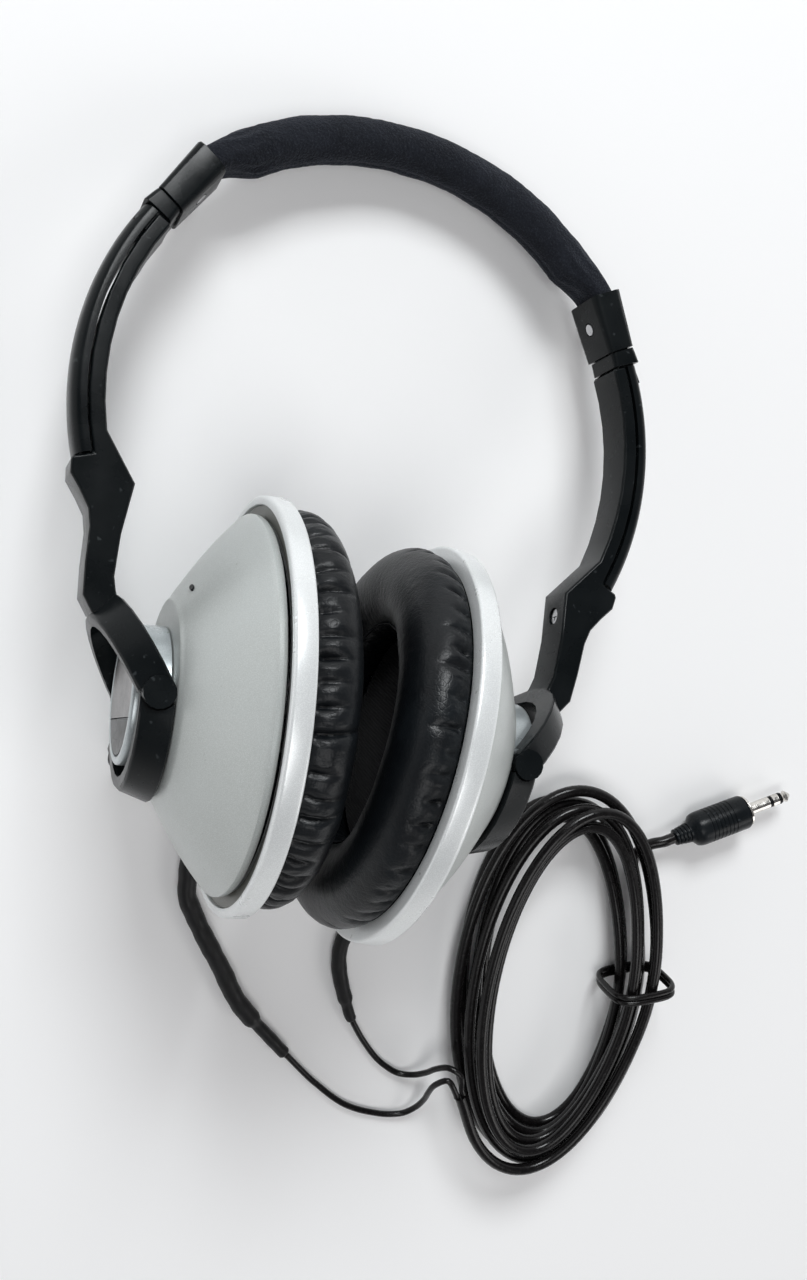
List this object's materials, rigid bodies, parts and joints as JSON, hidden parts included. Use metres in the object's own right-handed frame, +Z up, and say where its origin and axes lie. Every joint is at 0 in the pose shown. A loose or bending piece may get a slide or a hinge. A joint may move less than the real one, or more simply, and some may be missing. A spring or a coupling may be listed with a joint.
{
  "type": "radio headphones",
  "caption": "Padded headband with sliding arms and forked half-ring yokes that carry two conical closed-back earcups with pleated cushions, and a coiled lead with a stereo plug.",
  "frame": {"origin": "middle of the underside of the headphones as they lie on a table, cord left out of the count", "axes": "+X towards the cup that lies beside the coiled cord, +Y from the cups towards the headband's top, +Z up from the table"},
  "size_m": [0.2275, 0.2626, 0.0913],
  "materials": {
    "black_plastic": "satin moulded",
    "black_rubber": "matte",
    "cord_vinyl": "soft sheen",
    "leather": "soft pleated leatherette",
    "fabric": "brushed, suede-like",
    "foam": "open-cell foam",
    "acoustic_cloth": "fine woven",
    "silver_paint": "satin silver paint",
    "bright_silver": "bright silver plating",
    "steel": "plain",
    "nickel": "nickel plated",
    "magnet": "ferrite",
    "diaphragm_film": "thin film"
  },
  "bodies": {
    "headband": {"headband_sleeve": "fabric", "headband_spring": "steel", "headband_foam": "foam", "end_cap_l": "black_plastic", "end_cap_r": "black_plastic", "cap_screw_l": "steel", "cap_screw_r": "steel", "boot_l": "black_rubber", "boot_r": "black_rubber", "lead_l": "cord_vinyl", "lead_r": "cord_vinyl", "cord_hank": "cord_vinyl", "cord_tail": "cord_vinyl", "cord_tie": "cord_vinyl", "plug_housing": "black_rubber", "plug_face": "nickel", "jack_sleeve": "nickel", "jack_ring": "nickel", "jack_insulator": "black_plastic", "jack_tip": "nickel"},
    "arm_l": {"arm_frame_l": "black_plastic", "arm_shell_l": "black_plastic", "elbow_screw_l": "steel", "stop_collar_l": "black_plastic", "slider_strip_l": "steel", "pivot_pin_front_l": "steel", "pivot_pin_back_l": "steel"},
    "arm_r": {"arm_frame_r": "black_plastic", "arm_shell_r": "black_plastic", "elbow_screw_r": "steel", "stop_collar_r": "black_plastic", "slider_strip_r": "steel", "pivot_pin_front_r": "steel", "pivot_pin_back_r": "steel"},
    "cup_l": {"cup_ring_l": "black_plastic", "hub_boss_l": "bright_silver", "hub_plate_l": "silver_paint", "hub_insert_l": "black_plastic", "cone_shell_l": "silver_paint", "rim_ring_l": "bright_silver", "baffle_l": "black_plastic", "driver_basket_l": "steel", "driver_magnet_l": "magnet", "driver_diaphragm_l": "diaphragm_film", "dust_screen_l": "acoustic_cloth", "cushion_l": "leather", "strain_relief_l": "black_rubber"},
    "cup_r": {"cup_ring_r": "black_plastic", "hub_boss_r": "bright_silver", "hub_plate_r": "silver_paint", "hub_insert_r": "black_plastic", "cone_shell_r": "silver_paint", "rim_ring_r": "bright_silver", "baffle_r": "black_plastic", "driver_basket_r": "steel", "driver_magnet_r": "magnet", "driver_diaphragm_r": "diaphragm_film", "dust_screen_r": "acoustic_cloth", "cushion_r": "leather", "strain_relief_r": "black_rubber"}
  },
  "joints": [
    {"name": "left_arm_slide", "type": "slide", "parent": "headband", "child": "arm_l", "axis": [-0.5299, -0.8108, 0.2487], "range_m": [0, 0.015]},
    {"name": "left_cup_tilt", "type": "hinge", "parent": "arm_l", "child": "cup_l", "pos_m": [-0.0408, -0.04654, 0.04616], "axis": [0, -0.2932, -0.956], "range_deg": [-1, 8]},
    {"name": "right_arm_slide", "type": "slide", "parent": "headband", "child": "arm_r", "axis": [0.5299, -0.8108, 0.2487], "range_m": [0, 0.015]},
    {"name": "right_cup_tilt", "type": "hinge", "parent": "arm_r", "child": "cup_r", "pos_m": [0.0408, -0.04654, 0.04616], "axis": [0, 0.2932, 0.956], "range_deg": [-1, 8]}
  ]
}
